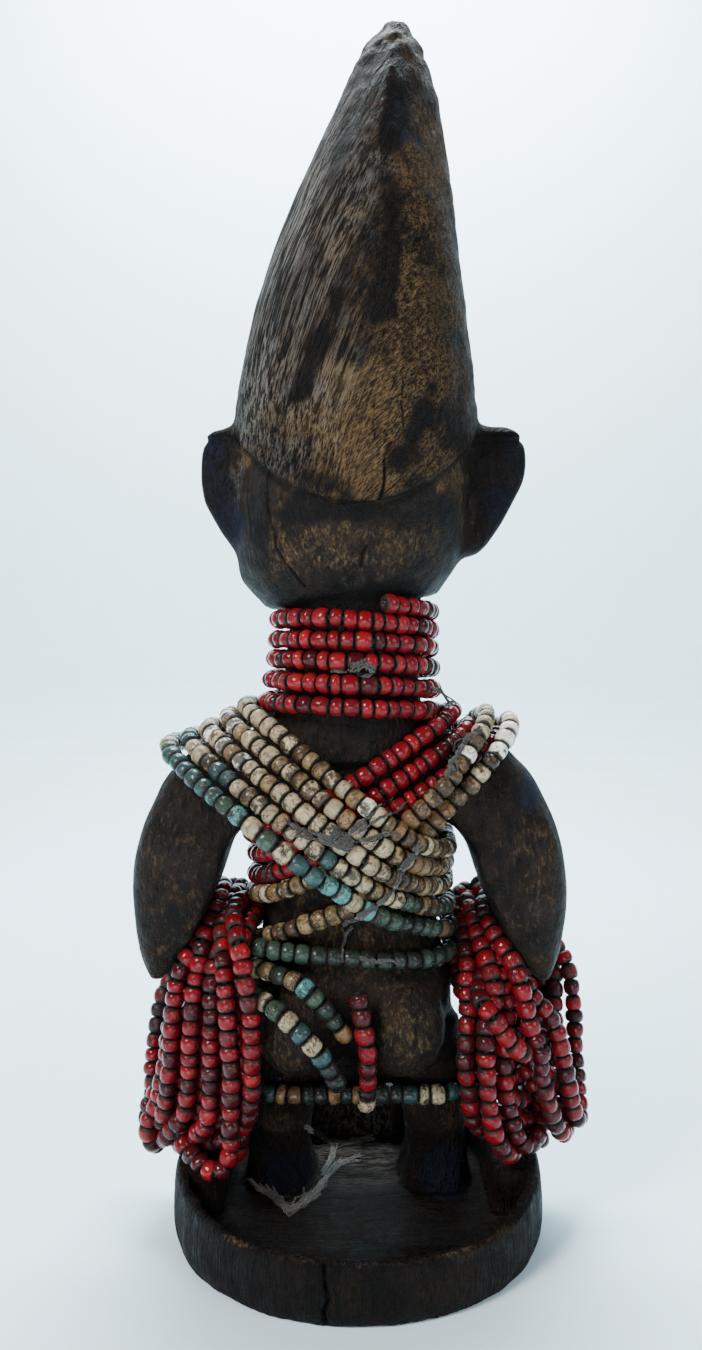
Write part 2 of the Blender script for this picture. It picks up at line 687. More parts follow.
def carve_base(places, normals, move):
    """Upright scrapes outside, gouges on the recess's floor and side walls, and the worn top of the rim."""
    x, y, z = places.T
    # Around the wall a length is an angle times the wall's mean radius.
    around = np.stack([np.arctan2(y, x) * MEAN_RADIUS, z * 0.12, np.hypot(x, y)], axis=1)
    outside = (z < BASE_TOP) & near_outer_wall(places)
    scrape = 0.16 * noise(around, [1.9, 1.5, 9], 8) + 0.14 * noise(around, [5, 2, 9], 9)
    move += np.where(outside, scrape * smoothstep(0, 3, z), 0)

    floor = (z < FLOOR_OF_RECESS + 1.0) & (z > 3) & ~outside
    near_rim = smoothstep(10, 22, y)
    gouge = noise(np.stack([y, z * 0, x * 0.10], axis=1), [1.7, 1, 1.6], 10)
    move += np.where(floor, gouge * (0.12 + 0.75 * near_rim), 0)

    above_floor = (z > FLOOR_OF_RECESS + 1.0) & (z < BASE_TOP) & ~outside
    side_wall = above_floor & (np.abs(x) > 24) & (y > -12) & (normals[:, 2] < 0.6)
    upright = noise(np.stack([x, y, z * 0.12], axis=1), [1.8, 1.8, 1.6], 11)
    move += np.where(side_wall, 0.40 * upright, 0)

    rim_top = outside & (normals[:, 2] > 0.4)
    worn_rim = smoothstep(-2, 16, -x) * smoothstep(4, 22, y)
    rough_rim = 0.30 * noise(places, 5.0, 12) * smoothstep(-20, 10, y) - 0.7 * worn_rim
    return move + np.where(rim_top, rough_rim, 0)


def carve_toes(places, normals, move):
    """Even grooves between the toes."""
    x, y, z = places.T
    feet = (y < -17) & (z < FLOOR_OF_RECESS + 9) & (z > FLOOR_OF_RECESS) & (np.abs(np.abs(x) - TOES_X) < 9)
    toe = (np.abs(x) - TOES_X) / TOE_PITCH + 0.5
    groove = np.exp(-(((toe - np.round(toe)) * TOE_PITCH) / 0.6) ** 2)
    return move - np.where(feet & (normals[:, 2] > -0.3), 0.75 * groove * smoothstep(-17, -20, y), 0)


def smoothed_carving(node):
    """The carving's surface with the solid's facets smoothed away and its crisp edges kept."""
    places, faces = remeshed(node, WOOD_VOXEL)
    edges = edges_of(faces)
    x, y, z = places.T
    weights = 0.5 * smoothstep(0.5, 3.0, near_distance(places, sharp_edge_places(node), 4.0))
    forearm = (z > 40) & (z < 72) & (y < -5) & (np.abs(x - BODY_X) > 20)
    weights[forearm] = 0.5
    face = (y < -19) & (z > 145) & (z < 194)
    weights[face] = np.minimum(weights[face] + 0.06, 0.10)
    weights *= 0.12 + 0.88 * smoothstep(277, 268, z)
    weights[on_ears(places, 27)] = 0.10
    places = smoothed(places, edges, weights, CARVING_ROUNDS)
    places = smoothed(places, edges, np.full(len(places), 0.4), 2)
    foot = z < WOOD_VOXEL * 1.5
    places[foot, :2] = smoothed(places, edges, np.where(foot, 0.5, 0.0), FOOT_ROUNDS)[foot, :2]
    return places, faces


def mesh_with_fine_lines(places, faces, crack_places):
    """The carving's mesh, with smaller faces along the cracks and the hair's edge."""
    build = bmesh.new()
    points = [build.verts.new(tuple(p)) for p in places]
    for f in faces:
        build.faces.new([points[k] for k in f])
    near_crack = near_distance(places, crack_places, CRACK_REACH + 0.5) < CRACK_REACH
    near_hair_edge = (np.abs(hairline(places)) < HAIR_EDGE_REACH) & (places[:, 2] > HEAD_LOW) & ~near_crack
    build.verts.index_update()
    for near, cuts in ((near_hair_edge, 1), (near_crack, 3)):
        fine = [
            e for e in build.edges
            if max(v.index for v in e.verts) < len(near) and all(near[v.index] for v in e.verts)
        ]
        bmesh.ops.subdivide_edges(build, edges=fine, cuts=cuts, use_grid_fill=True)
    mesh = bpy.data.meshes.new("carved_wood")
    build.to_mesh(mesh)
    build.free()
    return mesh


def cut_cracks(places, cracks, move, dark):
    """Sinks the drying cracks and darkens them."""
    wander = np.stack([noise(places, 3.0, 40 + k) for k in range(3)], axis=1) * 0.35
    reach = 3.0
    for line, half_width, depth in cracks:
        far = near_distance(places + wander, line, reach)
        move = move - depth * np.exp(-((far / half_width) ** 2)) * (far < reach)
        dark = np.maximum(dark, 1.3 * np.exp(-((far / (half_width * 1.25)) ** 2)))
    return move, dark


def wood_looks(places, normals, dark, turned):
    """How worn, dark, dyed, dusty and grooved the wood is at each point."""
    x, _, z = places.T
    tan = painted(places, normals, TAN_PATCHES, 32)
    indigo = painted(places, normals, INDIGO_PATCHES, 34)
    dust = painted(places, normals, DUST_PATCHES, 36)
    hair = smoothstep(-0.5, 1.0, hairline(places))
    tan = np.maximum(tan, 0.42 * hair * smoothstep(-0.5, 0.5, noise(places, 16.0, 50)))
    tan = np.maximum(tan, 0.30 * smoothstep(-0.1, 0.6, noise(places, 11.0, 51)) * (z > BASE_TOP))

    recess = inside_recess(places) & (z < 30) & (z > 4)
    between_legs = recess * smoothstep(13, 10, np.abs(x - BODY_X)) * smoothstep(0, -12, places[:, 1])
    tan *= 1 - between_legs
    dust = np.maximum(dust, 0.24 * between_legs)
    outer_wall = (z < 19) & near_outer_wall(places) & (normals[:, 2] < 0.5)
    towards_body = np.sign(normals[:, 0]) != np.sign(x - BODY_X)
    inner_arm = (np.abs(normals[:, 0]) > 0.55) & (z > 55) & (z < 104) & towards_body
    for darkness in (
        recess * (1 - between_legs) * 0.45 * smoothstep(30, 14, z),
        0.62 * on_ears(places, 28.5),
        0.66 * outer_wall,
        0.90 * np.exp(-(((hairline(places) + 1.2) / 1.1) ** 2)),
        0.60 * inner_arm,
    ):
        dark = np.maximum(dark, darkness)
    grooved = np.maximum(hair, 0.7 * (z < BASE_TOP))
    return {"tan": tan, "dark": dark, "indigo": indigo, "dust": dust, "turned": turned, "grooved": grooved}


def make_wood():
    """The carving as one piece, and its surface for what lies on it."""
    places, faces = smoothed_carving(nodes["carved_figure"])
    tree = BVHTree.FromPolygons([tuple(p) for p in places], faces)
    cracks = []
    for path, half_width, depth in CRACKS:
        line = np.array([place for place, _ in seen_surface(tree, path)])
        cracks.append((line, half_width, depth))
    mesh = mesh_with_fine_lines(places, faces, np.vstack([line for line, _, _ in cracks]))

    places = mesh_vectors(mesh.vertices, "co", len(mesh.vertices))
    normals = mesh_vectors(mesh.vertex_normals, "vector", len(mesh.vertices))
    grain, slanted, turned = wood_grain(places)
    move = carve_relief(places, normals, grain, slanted, turned)
    move, dark = cut_cracks(places, cracks, move, painted(places, normals, DARK_PATCHES, 30))
    moved = np.clip(places + normals * move[:, None], PART_LOW, PART_HIGH)
    mesh.vertices.foreach_set("co", (moved * MM).astype(np.float32).ravel())
    mesh.polygons.foreach_set("use_smooth", np.ones(len(mesh.polygons), dtype=bool))
    for name, values in wood_looks(places, normals, dark, turned).items():
        set_attribute(mesh, name, values)
    set_attribute(mesh, "grain", grain)
    set_attribute(mesh, "turned_grain", slanted)
    mesh.update()
    mesh.materials.append(wood_material())
    wood = bpy.data.objects.new("carved_wood", mesh)
    bpy.context.scene.collection.objects.link(wood)
    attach(wood, "root")
    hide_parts("carved_figure")
    tree = BVHTree.FromPolygons([tuple(p) for p in moved], [tuple(p.vertices) for p in mesh.polygons])
    return wood, tree


# Strings of beads.


def tube_line(node):
    """The centre line of a packed tube: the middles of its rings, in order, and whether it is closed."""
    places, triangles = welded(node)
    pairs = edges_of(triangles)
    # The commonest length of an edge is that of the rings' own edges.
    lengths = np.linalg.norm(places[pairs[:, 0]] - places[pairs[:, 1]], axis=1)
    values, counts = np.unique(np.round(lengths, 3), return_counts=True)
    on_ring = np.abs(lengths - values[np.argmax(counts)]) < 0.002
    linked = {}
    for a, b in pairs[on_ring]:
        linked.setdefault(a, set()).add(b)
        linked.setdefault(b, set()).add(a)
    # Points that are linked by such edges make one ring.
    ring_of = {}
    middles = []
    for start in linked:
        if start in ring_of:
            continue
        ring, waiting = set(), [start]
        while waiting:
            point = waiting.pop()
            if point not in ring:
                ring.add(point)
                waiting.extend(linked[point])
        for point in ring:
            ring_of[point] = len(middles)
        middles.append(places[sorted(ring)].mean(axis=0))
    # The other edges say which rings are neighbours.
    beside = [set() for _ in middles]
    for a, b in pairs[~on_ring]:
        first, second = ring_of.get(a), ring_of.get(b)
        if first is not None and second is not None and first != second:
            beside[first].add(second)
            beside[second].add(first)
    ends = [k for k, others in enumerate(beside) if len(others) == 1]
    closed = not ends
    order = [max(ends, key=lambda k: middles[k][2]) if ends else 0]
    while True:
        following = [k for k in sorted(beside[order[-1]]) if k not in order]
        if not following:
            break
        order.append(following[0])
    return np.array([middles[k] for k in order]), closed


def curve_through(points, closed, per_span=10):
    """A smooth curve through points, with per_span steps from each to the next."""
    n = len(points)
    spans = n if closed else n - 1
    result = []
    for k in range(spans):
        if closed:
            p0, p1, p2, p3 = (points[(k + d) % n] for d in (-1, 0, 1, 2))
        else:
            p0, p1, p2, p3 = (points[min(n - 1, max(0, k + d))] for d in (-1, 0, 1, 2))
        for s in range(per_span):
            t = s / per_span
            result.append(
                0.5 * (2 * p1 + (p2 - p0) * t + (2 * p0 - 5 * p1 + 4 * p2 - p3) * t**2
                + (3 * p1 - p0 - 3 * p2 + p3) * t**3)
            )
    if not closed:
        result.append(points[-1])
    return np.array(result)


class Line:
    """A curve that is read by the distance along it, rounded between its points or not."""

    def __init__(self, points, closed, rounded=True):
        self.closed = closed
        fine = curve_through(points, closed) if rounded else points
        if closed:
            fine = np.vstack([fine, fine[:1]])
        self.points = fine
        self.marks = np.concatenate([[0], np.cumsum(np.linalg.norm(np.diff(fine, axis=0), axis=1))])
        self.length = self.marks[-1]

    def at(self, distance):
        if self.closed:
            distance = np.mod(distance, self.length)
        return np.stack([np.interp(distance, self.marks, self.points[:, axis]) for axis in range(3)], axis=-1)

    def spaced(self, spacing):
        count = max(4, round(self.length / spacing))
        if self.closed:
            return self.at(np.arange(count) * self.length / count)
        return self.at(np.linspace(0, self.length, count))


# The loops at the wrists, nearly as in the part: x, y and height over the ground.
LEFT_WRIST_LOOPS = [
    [(29, -6, 74), (28.5, 5, 75), (27, 14, 71), (25, 17, 64), (23.6, 17.5, 54), (23.4, 15.5, 43),
     (24, 13, 33), (27, 10, 26), (34, 7, 22), (41, 2, 22), (45, -5, 26), (45, -12, 38), (42, -17, 51),
     (37, -19, 62), (33, -16, 70)],
    [(30, -6, 74), (31, 5, 72), (30, 13.5, 65), (28.8, 15.5, 55), (28.2, 15, 43), (28.2, 13, 30),
     (28.6, 13, 21), (32.5, 13.5, 17.5), (37, 9, 20.5), (41, 3, 23), (42, -6, 30), (41, -15, 42),
     (37, -19, 56), (32, -16, 69)],
    [(31.5, -6, 74), (32.6, 4, 69), (32.8, 10.5, 61), (32.8, 12.5, 50), (33, 12, 40), (33.5, 11, 30),
     (36.5, 8, 23.5), (41.5, 3, 21), (45.5, -5, 24), (46.5, -11, 34), (44, -16, 47), (39, -18, 59),
     (34, -14, 70)],
    [(33, -6, 75), (35, 5, 69), (36.6, 9, 61), (37.6, 10.5, 51), (38, 10, 41), (39, 8.5, 31),
     (42, 5, 23.5), (46, -1, 20.5), (48, -8, 25), (48, -13, 36), (45, -17, 48), (40, -18, 60),
     (36, -14, 70)],
    [(35, -5, 74), (37.5, 4, 68), (40.5, 7, 61), (42.2, 8, 51), (42.8, 7.5, 41), (44, 6, 31),
     (46, 2.5, 24), (47.4, -3, 22.5), (47.8, -9, 28), (47.4, -13, 38), (45, -16.5, 50), (41, -18, 61),
     (37, -14, 70)],
    [(34, -5, 75), (36.5, 3.5, 68), (40, 5, 60), (43, 4, 50), (44.5, 3, 40), (46.5, 2, 30), (48, 0, 21),
     (48, -4, 15.5), (48.6, -8, 18), (49.2, -9, 27), (49, -11, 38), (47.5, -14, 49), (43, -17, 58),
     (38, -16, 68)],
]
RIGHT_WRIST_LOOPS = [
    [(-27.5, -6, 70), (-26.8, 3, 62), (-25, 8, 52), (-24.3, 9, 42), (-25, 9, 35), (-26, 8, 28.5),
     (-28, 6, 24), (-32, 1, 23), (-37, -7, 27), (-39, -15, 41), (-36, -19, 56), (-31, -17, 68)],
    [(-29.5, -6, 72), (-33, 3, 64), (-34.5, 6.5, 55), (-33, 9, 43), (-33.5, 9.5, 34), (-35, 9.5, 27),
     (-37, 9, 21.5), (-40, 5, 21), (-43, 0, 24), (-44, -10, 33), (-40, -17, 48), (-35, -18, 61),
     (-31, -14, 70)],
    [(-33, -6, 72), (-34.5, 3, 62), (-38.5, 6, 56), (-43, 6, 52), (-46, 5, 46), (-48, 4, 38),
     (-50, 2, 29), (-52, -1, 23), (-53, -6, 24), (-53.7, -10, 34), (-53.7, -12, 46), (-52.6, -14, 56),
     (-48, -18, 63), (-41, -18, 69), (-36, -12, 73)],
    [(-29, -6, 69), (-28, 6, 59), (-29, 12, 54), (-32, 14, 49), (-36, 13.5, 45), (-40, 9, 43.5),
     (-43, 0, 46), (-42, -10, 52), (-38, -17, 60), (-32, -15, 69)],
    [(-28, -6, 72), (-29.5, 4, 64), (-29.5, 10.5, 55), (-28.5, 13, 45), (-29, 13, 35), (-30.5, 12.5, 26),
     (-34, 10, 20.5), (-38, 4, 20), (-41, -4, 24), (-41.5, -12, 35), (-39, -17, 49), (-34, -18.5, 61),
     (-30, -14, 70)],
    [(-32, -6, 73), (-34.5, 5, 66), (-37, 9, 58), (-39, 10, 48), (-41.5, 9, 38), (-44.5, 6, 28),
     (-48, 1, 21), (-51, -6, 21.5), (-51, -12, 32), (-49, -16, 45), (-45, -18.5, 57), (-40, -18.5, 66),
     (-35, -14, 72)],
]

LOOP_HOLD = 0.5  # how firmly the drawn loops keep their places
INNER_LOOP_STEPS = 24
INNER_LOOP_SHIFT = -4.5  # along Y, away from the camera


def inner_loop(one, other):
    """A loop halfway between two, deeper in the bundle."""
    halves = []
    for loop in (one, other):
        line = Line(np.array(loop, dtype=float), True)
        halves.append(line.at(np.arange(INNER_LOOP_STEPS) * line.length / INNER_LOOP_STEPS))
    return (halves[0] + halves[1]) / 2 + (0, INNER_LOOP_SHIFT, 0)


SETTLE_SPACING = 3.4
SETTLE_ROUNDS = 60
PAIR_ROUNDS = 6  # between two searches for points that may touch
LENGTH_ROUNDS = 3
ROOM_IN_BOX = 1.2  # as a share of a bead's radius
ROOM_ON_WOOD = 0.05
END_FREEDOM = 0.25
# How readily a point gives way to another string's.
HANGING_LOOSE, HELD_LOOSE, TIGHT_LOOSE = 1.0, 0.12, 0.002
# The heights between which a hanging string starts to feel its weight.
TIED_HEIGHT, HANGING_HEIGHT = 72, 60


class BeadString:
    """One run of beads: where it lies, how thick it is and how its beads look."""

    def __init__(self, node, line, bead, look, pull, weight=0.0, hold=0.0):
        self.node = node
        self.closed = line.closed
        self.bead = bead
        self.look = look
        self.pull = pull
        self.weight = weight
        self.hold = hold
        self.points = line.spaced(SETTLE_SPACING)


def settle(strings, tree):
    """Lets the strings come to rest: pulled tight or hanging, on the wood and against each other."""
    places = np.vstack([s.points for s in strings])
    starts = np.cumsum([0] + [len(s.points) for s in strings])
    count = len(places)
    # Each point's neighbours, and what its string says of it.
    before, after = np.arange(count) - 1, np.arange(count) + 1
    owner = np.zeros(count, dtype=int)
    radius, pull, weight, hold = (np.zeros(count) for _ in range(4))
    home = places.copy()
    free = np.ones(count)
    for k, string in enumerate(strings):
        first, last = starts[k], starts[k + 1] - 1
        own = slice(first, last + 1)
        owner[own] = k
        radius[own] = string.bead / 2
        pull[own] = string.pull
        weight[own] = string.weight
        hold[own] = string.hold
        before[first] = last if string.closed else first
        after[last] = first if string.closed else last
        if not string.closed:
            free[first] = free[last] = END_FREEDOM
            pull[first] = pull[last] = 0
    rest = np.linalg.norm(places[after] - places, axis=1)
    hanging = weight > 0
    loose = np.where(hanging, np.where(hold > 0, HELD_LOOSE, HANGING_LOOSE), TIGHT_LOOSE)
    room = ROOM_IN_BOX * radius[:, None]

    for turn in range(SETTLE_ROUNDS):
        if turn % PAIR_ROUNDS == 0:
            pairs = close_pairs(places, owner, radius)
        middle = (places[before] + places[after]) / 2
        places = places + (pull * free)[:, None] * (middle - places)
        places[:, 2] -= weight * smoothstep(TIED_HEIGHT, HANGING_HEIGHT, places[:, 2])
        places += hold[:, None] * (home - places)
        keep_lengths(places, after, rest, hanging)
        push_apart(places, pairs, radius, loose)
        lift_off_wood(places, radius, tree)
        places = np.clip(places, PART_LOW + room, PART_HIGH - room)
    for k, string in enumerate(strings):
        string.points = places[starts[k]:starts[k + 1]]


def keep_lengths(places, after, rest, hanging):
    """Brings neighbours on the hanging strings back to their first distance, in place."""
    for _ in range(LENGTH_ROUNDS):
        step = places[after] - places
        length = np.maximum(np.linalg.norm(step, axis=1), TINY)
        fix = step * ((length - rest) / length * 0.5 * hanging)[:, None]
        places += fix * 0.5
        np.add.at(places, after, -fix * 0.5)


def push_apart(places, pairs, radius, loose):
    """Moves points that are too near each other apart, the looser one further, in place."""
    a, b = pairs
    away = places[b] - places[a]
    gap = np.maximum(np.linalg.norm(away, axis=1), TINY)
    short = np.maximum(radius[a] + radius[b] - gap, 0)
    push = away * (short / gap * 0.9)[:, None]
    share = loose[b] / (loose[a] + loose[b])
    np.add.at(places, a, -push * (1 - share)[:, None])
    np.add.at(places, b, push * share[:, None])


def lift_off_wood(places, radius, tree):
    """Moves points that are inside the wood or too near it out to their radius, in place."""
    for k, place in enumerate(places):
        place = Vector(place)
        found, normal, _, far = tree.find_nearest(place)
        offset = place - found
        keep = radius[k] + ROOM_ON_WOOD
        if offset.dot(normal) < 0:
            places[k] = found + normal * keep
        elif far < keep:
            places[k] += np.array(offset) * ((keep - far) / max(far, TINY))


SAME_STRING_GAP = 3  # neighbours up to this many points away are left out
WRAP_DISTANCE = 3.2  # turns of one string that the part lays closer than this stay so


def close_pairs(places, owner, radius, margin=2.5):
    """Pairs of points that may touch, apart from near neighbours on one string."""
    first, second = [], []
    for k in range(len(places) - 1):
        far = np.linalg.norm(places[k + 1:] - places[k], axis=1)
        hit = np.nonzero(far < radius[k] + radius[k + 1:] + margin)[0] + k + 1
        hit = hit[(owner[hit] != owner[k]) | (hit - k > SAME_STRING_GAP)]
        first.extend([k] * len(hit))
        second.extend(hit)
    a, b = np.array(first, dtype=int), np.array(second, dtype=int)
    wraps = (owner[a] == owner[b]) & (np.linalg.norm(places[a] - places[b], axis=1) < WRAP_DISTANCE)
    return a[~wraps], b[~wraps]


# Colours of the glass.
RED = (0.150, 0.0040, 0.0075)
BRIGHT_RED = (0.215, 0.0070, 0.0100)
DARK_RED = (0.050, 0.0032, 0.0052)
CREAM = (0.330, 0.258, 0.155)
OLD_CREAM = (0.180, 0.116, 0.054)
WHITE = (0.740, 0.700, 0.600)
TAN = (0.130, 0.068, 0.027)
TURQUOISE = (0.075, 0.210, 0.195)
TEAL = (0.020, 0.054, 0.051)
GREEN = (0.028, 0.052, 0.033)
OLD_GREEN = (0.013, 0.019, 0.015)
BLACK = (0.011, 0.010, 0.009)


EVERYWHERE = math.inf
X, Z = 0, 2


def look_along(axis, *steps):
    """The look of a string by one of its coordinates.

    Each step has the coordinate below which it holds, the kinds of glass with their shares, the shortest
    and longest bead, and how stained the beads are.
    """
    def look(place, rng):
        for limit, kinds, shortest, longest, stain in steps:
            if place[axis] < limit:
                return pick(rng, kinds), shortest, longest, stain
    return look


def wrist_look(place, rng):
    """Darker towards the ends of the loops."""
    low = float(smoothstep(45, 15, place[Z]))
    return pick(rng, [(RED, 6), (DARK_RED, 2.4 + 4 * low), (BRIGHT_RED, 0.5)]), 2.9, 4.0, 0.45


def pick(rng, kinds):
    """One of the kinds, by their weights."""
    weights = np.array([weight for _, weight in kinds], dtype=float)
    return kinds[rng.choice(len(kinds), p=weights / weights.sum())][0]


red_look = look_along(X, (EVERYWHERE, [(RED, 6), (DARK_RED, 1.8), (BRIGHT_RED, 2)], 2.3, 4.3, 0.35))
white_look = look_along(
    X,
    (-31, [(WHITE, 5), (CREAM, 2)], 2.9, 3.8, 0.4),
    (-24, [(CREAM, 3), (OLD_GREEN, 1.5), (WHITE, 1.5)], 2.9, 3.8, 1.5),
    (EVERYWHERE, [(OLD_CREAM, 5), (TAN, 3), (CREAM, 1)], 2.9, 3.9, 1.3),
)
cream_look = look_along(
    X,
    (-6, [(TAN, 4), (OLD_CREAM, 4), (CREAM, 0.6)], 2.3, 3.4, 1.3),
    (EVERYWHERE, [(CREAM, 7), (OLD_CREAM, 2.5), (WHITE, 0.7)], 2.8, 3.9, 1.15),
)
mixed_look = look_along(
    X,
    (-8, [(TAN, 5), (OLD_CREAM, 3), (GREEN, 0.8)], 2.6, 3.6, 1.3),
    (EVERYWHERE, [(CREAM, 6), (TEAL, 0.9), (OLD_CREAM, 2)], 2.8, 3.9, 1.1),
)
turquoise_look = look_along(
    X,
    (-7, [(GREEN, 3), (OLD_GREEN, 2), (TAN, 3), (BLACK, 1)], 2.6, 4.0, 0.7),
    (EVERYWHERE, [(TURQUOISE, 2), (TEAL, 3), (GREEN, 1), (CREAM, 2)], 3.0, 4.4, 0.9),
)
belt_look = look_along(
    X,
    (10, [(OLD_GREEN, 5), (GREEN, 2), (BLACK, 1)], 3.0, 4.0, 0.9),
    (EVERYWHERE, [(TEAL, 2), (GREEN, 3), (OLD_GREEN, 2)], 3.0, 4.0, 0.9),
)
hip_look = look_along(
    X, (EVERYWHERE, [(GREEN, 4), (TEAL, 3), (TURQUOISE, 1.4), (CREAM, 1.6), (OLD_GREEN, 2)], 3.2, 4.4, 0.7)
)
thigh_look = look_along(
    X, (EVERYWHERE, [(OLD_GREEN, 3), (TAN, 2), (TEAL, 2), (CREAM, 1.6), (BLACK, 1)], 2.4, 3.9, 0.9)
)
tail_look = look_along(
    Z,
    (39, [(OLD_GREEN, 2), (CREAM, 1), (BLACK, 1.5)], 2.6, 3.8, 0.8),
    (EVERYWHERE, [(DARK_RED, 2), (RED, 2)], 3.2, 4.8, 0.5),
)

# Beads that one notices in the photograph: pixel and colour.
NOTED_REACH = 8.5
NOTED_BEADS = {
    "left_shoulder_strand_1": [(335, 757, WHITE), (352, 777, WHITE)],
    "left_shoulder_strand_2": [(345, 790, WHITE), (338, 760, CREAM)],
    "left_shoulder_strand_4": [
        (228, 747, TURQUOISE), (248, 772, TURQUOISE), (275, 793, TURQUOISE), (288, 803, TEAL),
        (315, 825, TURQUOISE), (338, 857, CREAM), (408, 902, GREEN), (422, 908, TAN), (438, 911, GREEN),
        (453, 918, OLD_GREEN),
    ],
    "left_shoulder_strand_5": [
        (197, 738, TURQUOISE), (208, 752, TURQUOISE), (228, 780, TURQUOISE), (250, 805, CREAM),
        (262, 812, TURQUOISE), (282, 823, TURQUOISE), (295, 838, TEAL), (308, 852, CREAM), (322, 867, GREEN),
        (332, 877, GREEN), (343, 888, TURQUOISE), (353, 893, TEAL), (363, 902, CREAM), (375, 913, GREEN),
        (390, 923, GREEN), (400, 937, TAN), (417, 940, TAN), (430, 942, OLD_GREEN),
    ],
    "thigh_strand": [
        (265, 1098, TEAL), (283, 1100, TAN), (290, 1100, OLD_GREEN), (297, 1101, TAN), (304, 1101, TAN),
        (312, 1100, OLD_GREEN), (405, 1096, OLD_GREEN), (414, 1097, TEAL), (423, 1098, CREAM),
        (433, 1098, TURQUOISE), (441, 1096, CREAM),
    ],
    "hip_green_strand_1": [
        (275, 969, OLD_CREAM), (292, 981, OLD_CREAM), (309, 992, TURQUOISE), (320, 1002, GREEN),
        (331, 1015, OLD_GREEN), (340, 1031, TAN),
    ],
    "hip_green_strand_2": [
        (270, 989, GREEN), (284, 1005, CREAM), (299, 1016, GREEN), (312, 1030, TEAL), (320, 1042, TURQUOISE),
        (330, 1051, GREEN), (336, 1070, OLD_GREEN), (340, 1087, BLACK),
    ],
    "right_shoulder_white_strand_1": [(508, 715, WHITE), (496, 733, WHITE), (476, 755, WHITE)],
    "right_shoulder_white_strand_2": [(525, 725, WHITE), (510, 745, WHITE), (489, 765, BLACK)],
}

# Half the outline of a bead, from the rim of its hole to its middle: place along and distance out.
BEAD_PROFILE = [
    (0.74, 0.26), (0.94, 0.38), (1.0, 0.54), (0.97, 0.70), (0.85, 0.84), (0.63, 0.95), (0.34, 1.02),
    (0.0, 1.04),
]
BEAD_SIDES = 13
THREAD_RADIUS = 0.55
THREAD_SIDES = 6
THREAD_STEP = 1.6
THREAD_COLOUR = (0.03, 0.02, 0.015)


def bead_rings(rng):
    """The outline of a whole bead with its own small unevenness: along, out."""
    mirrored = [(-along, out) for along, out in BEAD_PROFILE[:-1]]
    outline = mirrored + BEAD_PROFILE[::-1]
    lean = rng.uniform(-0.05, 0.05)
    return [(along, out * (1 + lean * along)) for along, out in outline]


class BeadMesh:
    """The points and faces of one piece of beads and thread, with their looks."""

    def __init__(self):
        self.places, self.faces, self.materials = [], [], []
        self.colours, self.grimes, self.stains = [], [], []

    def add_rings(self, rings, material, colour, grimes, stain):
        """Joins rings of points with bands of faces. The grimes are one value for each point."""
        add_bands(self.faces, len(self.places), len(rings), len(rings[0]))
        for ring in rings:
            self.places.extend(ring)
        self.materials.extend([material] * (len(self.faces) - len(self.materials)))
        self.grimes.extend(grimes)
        self.colours.extend([(*colour, 1.0)] * len(grimes))
        self.stains.extend([stain] * len(grimes))


def make_beads(strings, node, slot_name, tree, rng, thread):
    """All runs of one node as one piece: its beads and the thread through them."""
    mesh = BeadMesh()
    for string in strings:
        line = Line(string.points, string.closed)
        for bead in beads_along(line, string, rng):
            add_bead(mesh, bead, tree, rng)
        add_thread(mesh, line)
    materials = [BEAD_MATERIALS[slot_name], thread]
    places = np.array(mesh.places) * MM
    made = new_object(f"beads_{node}", places, mesh.faces, materials, True, mesh.materials)
    set_attribute(made.data, "bead_colour", np.array(mesh.colours))
    set_attribute(made.data, "grime", mesh.grimes)
    set_attribute(made.data, "stain", mesh.stains)
    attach(made, "root")
    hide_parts(node)
    return made


Bead = namedtuple("Bead", "centre axis half_length radius colour stain")
SHORTEST_REST = 0.8  # a shorter rest of a string gets no bead of its own
HALF_LENGTH = 0.49  # as a share of a bead's place on the string
TILT = 0.05
SHIFT = 0.06


def beads_along(line, string, rng):
    """The beads of a run, end to end along a line."""
    lengths, looks, covered = [], [], 0.0
    while covered < line.length - SHORTEST_REST:
        colour, shortest, longest, stain = string.look(line.at(covered), rng)
        length = rng.uniform(shortest, longest)
        lengths.append(length)
        looks.append((colour, stain))
        covered += length
    stretch = line.length / covered
    mark = 0.0
    for length, (colour, stain) in zip(lengths, looks):
        length *= stretch
        start, end = line.at(mark), line.at(mark + length * 0.999)
        axis = end - start
        axis /= np.linalg.norm(axis)
        axis += rng.normal(0, TILT, 3)
        axis /= np.linalg.norm(axis)
        radius = string.bead / 2 * rng.uniform(0.93, 1.07)
        centre = (start + end) / 2 + rng.normal(0, SHIFT, 3)
        colour = noted_colour(string.node, centre, colour)
        shade = rng.uniform(0.78, 1.14)
        tint = tuple(min(1.0, c * shade) for c in colour)
        yield Bead(centre, axis, length * HALF_LENGTH, radius, tint, stain * rng.uniform(0.3, 1.5))
        mark += length


def noted_colour(node, centre, colour):
    """The colour of the noted bead at this place, or else the colour given."""
    u, v = (float(value[0]) for value in seen_pixels(centre[None, :]))
    for noted_u, noted_v, noted in NOTED_BEADS.get(node, []):
        if math.hypot(u - noted_u, v - noted_v) < NOTED_REACH and centre[1] > 0:
            colour = noted
    return colour


